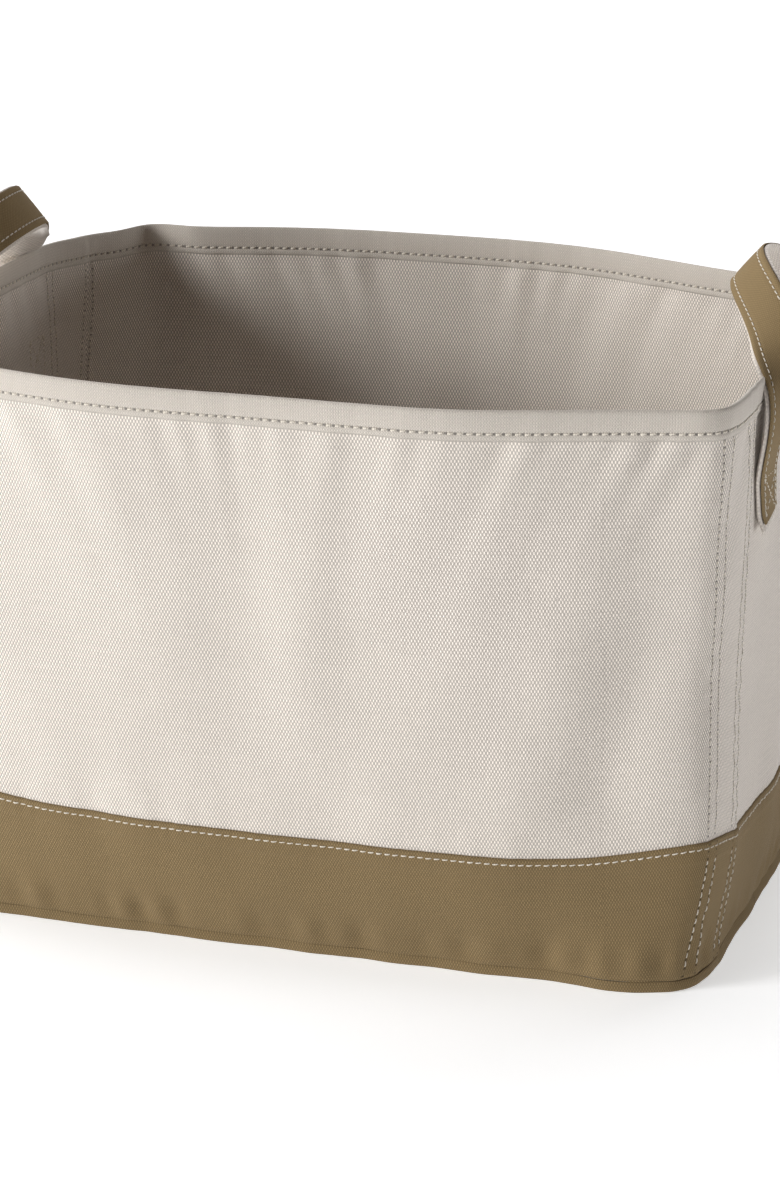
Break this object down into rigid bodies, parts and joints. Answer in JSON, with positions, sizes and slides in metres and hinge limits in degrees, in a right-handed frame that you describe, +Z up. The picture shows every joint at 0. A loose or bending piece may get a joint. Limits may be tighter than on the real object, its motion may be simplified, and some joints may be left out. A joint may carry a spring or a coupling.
{
  "type": "fabric storage bin",
  "caption": "Open-topped rectangular canvas storage bin with a bound rim, a contrasting band round the foot, lapped corner seams and a strap handle at each end.",
  "frame": {"origin": "on the floor, under the middle of the base", "axes": "+X is the long way, from handle to handle; +Z is up, out of the open top; +Y is a long side"},
  "size_m": [0.4378, 0.33, 0.3292],
  "materials": {
    "cream_canvas": "matte heavy cotton duck, undyed cream",
    "olive_canvas": "matte heavy cotton duck, olive khaki",
    "cream_tape": "matte ribbed cotton tape, cream",
    "cream_webbing": "matte woven cotton webbing, cream",
    "thread": "twisted cotton sewing thread, cream",
    "board": "plain grey-brown fibre board, hidden"
  },
  "bodies": {
    "root": {"front_panel": "cream_canvas", "back_panel": "cream_canvas", "left_end_panel": "cream_canvas", "right_end_panel": "cream_canvas", "front_band": "olive_canvas", "back_band": "olive_canvas", "left_end_band": "olive_canvas", "right_end_band": "olive_canvas", "base_panel": "olive_canvas", "base_board": "board", "base_lining": "cream_canvas", "rim_binding": "cream_tape", "rim_stitching": "thread", "band_stitching": "thread", "lap_stitching": "thread", "foot_stitching": "thread", "right_front_foot_strap": "cream_webbing", "right_front_foot_cover": "olive_canvas", "right_rear_foot_strap": "cream_webbing", "right_rear_foot_cover": "olive_canvas", "left_front_foot_strap": "cream_webbing", "left_front_foot_cover": "olive_canvas", "left_rear_foot_strap": "cream_webbing", "left_rear_foot_cover": "olive_canvas"},
    "right_handle": {"right_handle_strap": "cream_webbing", "right_handle_cover": "olive_canvas"},
    "left_handle": {"left_handle_strap": "cream_webbing", "left_handle_cover": "olive_canvas"}
  },
  "joints": [
    {"name": "right_handle_swing", "type": "hinge", "parent": "root", "child": "right_handle", "pos_m": [0.2103, 0, 0.2415], "axis": [0, 1, 0], "range_deg": [0, 165]},
    {"name": "left_handle_swing", "type": "hinge", "parent": "root", "child": "left_handle", "pos_m": [-0.2103, 0, 0.2415], "axis": [0, -1, 0], "range_deg": [0, 165]}
  ]
}
